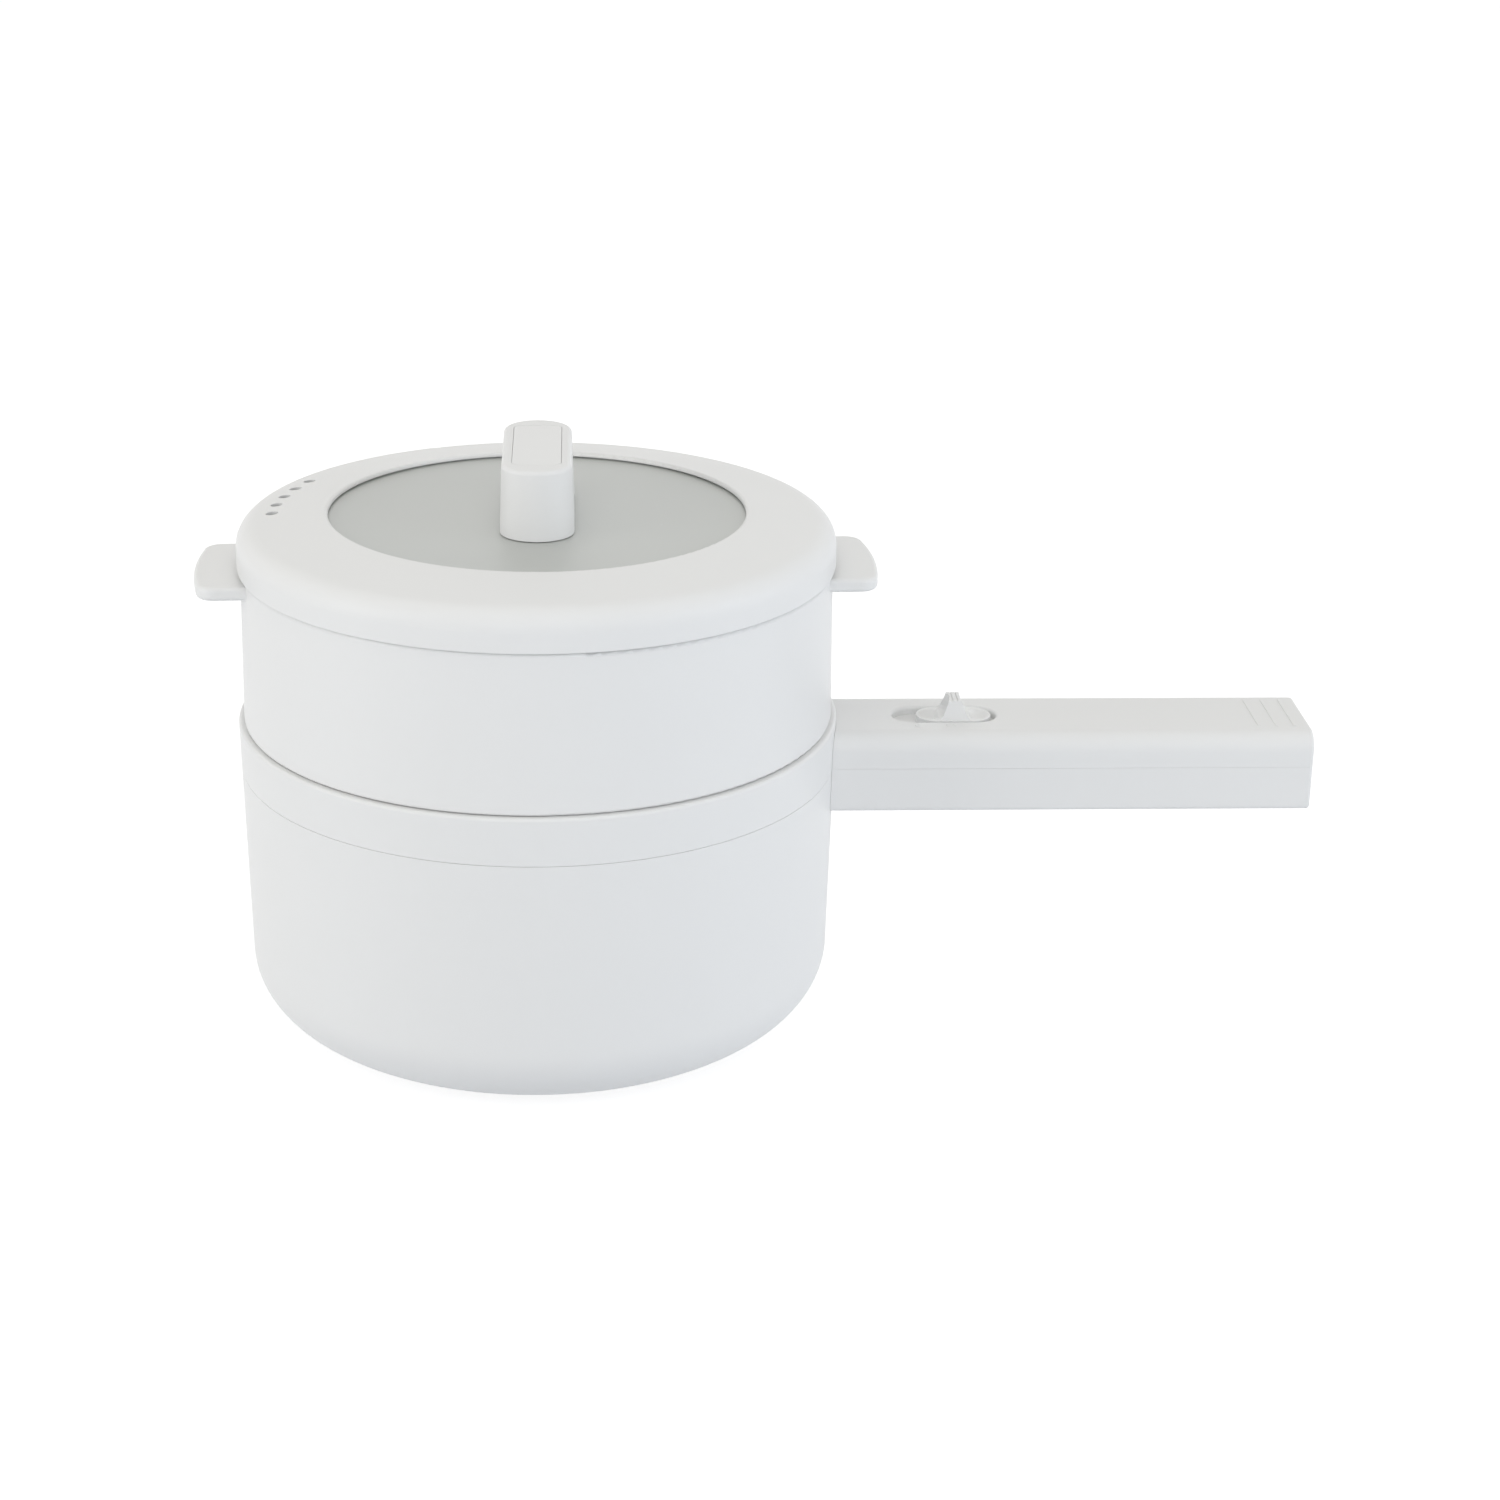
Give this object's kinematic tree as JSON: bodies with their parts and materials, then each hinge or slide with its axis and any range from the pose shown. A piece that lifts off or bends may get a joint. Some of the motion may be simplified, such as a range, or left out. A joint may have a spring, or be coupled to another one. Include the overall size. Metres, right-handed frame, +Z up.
{
  "type": "electric cooker",
  "caption": "Round electric cooker with a straight bar handle and slide switch, a lift-off steamer tier with ears, and a lift-off lid with a glass panel and bar knob.",
  "frame": {"origin": "on the table under the middle of the round pot, at the foot ring's underside", "axes": "+Z up, +X from the pot's axis along the handle, +Y to the left of someone who looks along +X"},
  "size_m": [0.3455, 0.1854, 0.1846],
  "materials": {
    "white_plastic": "satin",
    "steel": "satin",
    "coated_aluminium": "ceramic coat",
    "bare_aluminium": "cast",
    "ceramic": "matte",
    "thermostat": "satin",
    "fuse": "satin",
    "dark_plastic": "matte",
    "brass": "plain",
    "grey_rubber": "matte",
    "clear_silicone": "matte",
    "lid_glass": "smooth, grey",
    "brown_lead": "matte",
    "blue_lead": "matte",
    "earth_lead": "matte"
  },
  "bodies": {
    "base": {"outer_casing": "white_plastic", "rim_ring": "white_plastic", "inner_pot": "coated_aluminium", "rim_gasket": "clear_silicone", "base_cover": "white_plastic", "base_screws": "steel", "foot_ring": "grey_rubber", "heater_plate": "bare_aluminium", "heater_tube": "steel", "heater_pins": "steel", "heater_beads": "ceramic", "thermostat": "thermostat", "thermostat_strap": "steel", "strap_screws": "steel", "thermal_fuse": "fuse", "handle_upper": "white_plastic", "handle_lower": "white_plastic", "handle_screws": "steel", "handle_bolts": "steel", "lead_grommet": "grey_rubber", "switch_body": "dark_plastic", "switch_terminals": "brass", "inlet_housing": "dark_plastic", "inlet_pins": "brass", "live_lead": "brown_lead", "switch_lead": "brown_lead", "neutral_lead": "blue_lead", "earth_lead": "earth_lead", "thermostat_lead": "brown_lead"},
    "slider": {"power_slider": "white_plastic", "switch_actuator": "dark_plastic"},
    "tier": {"steamer_tier": "white_plastic"},
    "plate": {"steam_plate": "white_plastic"},
    "lid": {"lid_frame": "white_plastic", "lid_glass": "lid_glass", "glass_seal": "clear_silicone", "clamp_ring": "white_plastic", "clamp_screws": "steel", "knob": "white_plastic", "knob_cap": "white_plastic", "knob_pad": "clear_silicone", "knob_washer": "clear_silicone", "knob_screw": "steel"}
  },
  "joints": [
    {"name": "power_slide", "type": "slide", "parent": "base", "child": "slider", "axis": [-1, 0, 0], "range_m": [0, 0.006]},
    {"name": "tier_lift", "type": "slide", "parent": "base", "child": "tier", "axis": [0, 0, 1], "range_m": [0, 0.12]},
    {"name": "plate_lift", "type": "slide", "parent": "tier", "child": "plate", "axis": [0, 0, 1], "range_m": [0, 0.035]},
    {"name": "lid_lift", "type": "slide", "parent": "tier", "child": "lid", "axis": [0, 0, 1], "range_m": [0, 0.09]}
  ]
}
